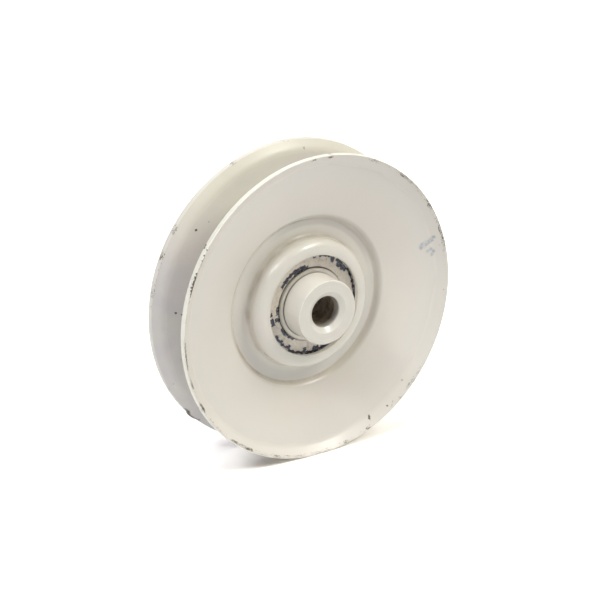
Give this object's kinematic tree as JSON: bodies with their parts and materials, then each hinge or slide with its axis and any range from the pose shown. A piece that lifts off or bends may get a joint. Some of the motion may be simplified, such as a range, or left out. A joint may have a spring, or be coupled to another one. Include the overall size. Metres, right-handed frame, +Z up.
{
  "type": "v-belt idler pulley",
  "caption": "Pressed-steel V-belt idler pulley: two dished flanges round a sealed ball bearing with a spacer bush each side.",
  "frame": {"origin": "centre of the bearing: on the spin axis, half-way between the two rims and between the two bush ends", "axes": "+Y along the spin axis towards the rear bush, so the front bush points to -Y; +Z up, +X to the right seen from the front"},
  "size_m": [0.1016, 0.03, 0.1016],
  "materials": {
    "painted_flange": "semi-gloss cream paint over pressed steel, chipped at the rims",
    "painted_bush": "semi-gloss cream paint over turned steel, bare and brown inside the bore",
    "bearing_steel": "ground and hardened bearing steel",
    "ball_steel": "polished",
    "cage_steel": "pressed steel ribbon, satin, oiled",
    "seal_rubber": "black nitrile rubber with flaking overspray",
    "insert_steel": "bare pressed steel"
  },
  "bodies": {
    "hub": {"front_bush": "painted_bush", "rear_bush": "painted_bush", "bearing_inner_ring": "bearing_steel"},
    "pulley": {"front_flange": "painted_flange", "rear_flange": "painted_flange", "bearing_outer_ring": "bearing_steel", "front_seal_rubber": "seal_rubber", "front_seal_insert": "insert_steel", "rear_seal_rubber": "seal_rubber", "rear_seal_insert": "insert_steel"},
    "cage": {"cage_front_half": "cage_steel", "cage_rear_half": "cage_steel", "cage_rivets": "cage_steel"},
    "ball_1_body": {"ball_1": "ball_steel"},
    "ball_2_body": {"ball_2": "ball_steel"},
    "ball_3_body": {"ball_3": "ball_steel"},
    "ball_4_body": {"ball_4": "ball_steel"},
    "ball_5_body": {"ball_5": "ball_steel"},
    "ball_6_body": {"ball_6": "ball_steel"},
    "ball_7_body": {"ball_7": "ball_steel"},
    "ball_8_body": {"ball_8": "ball_steel"}
  },
  "joints": [
    {"name": "pulley_spin", "type": "hinge", "parent": "hub", "child": "pulley", "pos_m": [0, 0, 0], "axis": [0, 1, 0], "continuous": true},
    {"name": "cage_spin", "type": "hinge", "parent": "hub", "child": "cage", "pos_m": [0, 0, 0], "axis": [0, 1, 0], "continuous": true},
    {"name": "ball_1_spin", "type": "hinge", "parent": "cage", "child": "ball_1_body", "pos_m": [0, 0, 0.01425], "axis": [0, 1, 0], "continuous": true},
    {"name": "ball_2_spin", "type": "hinge", "parent": "cage", "child": "ball_2_body", "pos_m": [-0.01008, 0, 0.01008], "axis": [0, 1, 0], "continuous": true},
    {"name": "ball_3_spin", "type": "hinge", "parent": "cage", "child": "ball_3_body", "pos_m": [-0.01425, 0, 0], "axis": [0, 1, 0], "continuous": true},
    {"name": "ball_4_spin", "type": "hinge", "parent": "cage", "child": "ball_4_body", "pos_m": [-0.01008, 0, -0.01008], "axis": [0, 1, 0], "continuous": true},
    {"name": "ball_5_spin", "type": "hinge", "parent": "cage", "child": "ball_5_body", "pos_m": [0, 0, -0.01425], "axis": [0, 1, 0], "continuous": true},
    {"name": "ball_6_spin", "type": "hinge", "parent": "cage", "child": "ball_6_body", "pos_m": [0.01008, 0, -0.01008], "axis": [0, 1, 0], "continuous": true},
    {"name": "ball_7_spin", "type": "hinge", "parent": "cage", "child": "ball_7_body", "pos_m": [0.01425, 0, 0], "axis": [0, 1, 0], "continuous": true},
    {"name": "ball_8_spin", "type": "hinge", "parent": "cage", "child": "ball_8_body", "pos_m": [0.01008, 0, 0.01008], "axis": [0, 1, 0], "continuous": true}
  ],
  "couplings": [
    {"joint": "cage_spin", "follows": "pulley_spin", "ratio": 0.61837},
    {"joint": "ball_1_spin", "follows": "pulley_spin", "ratio": 1.9937},
    {"joint": "ball_2_spin", "follows": "pulley_spin", "ratio": 1.9937},
    {"joint": "ball_3_spin", "follows": "pulley_spin", "ratio": 1.9937},
    {"joint": "ball_4_spin", "follows": "pulley_spin", "ratio": 1.9937},
    {"joint": "ball_5_spin", "follows": "pulley_spin", "ratio": 1.9937},
    {"joint": "ball_6_spin", "follows": "pulley_spin", "ratio": 1.9937},
    {"joint": "ball_7_spin", "follows": "pulley_spin", "ratio": 1.9937},
    {"joint": "ball_8_spin", "follows": "pulley_spin", "ratio": 1.9937}
  ]
}
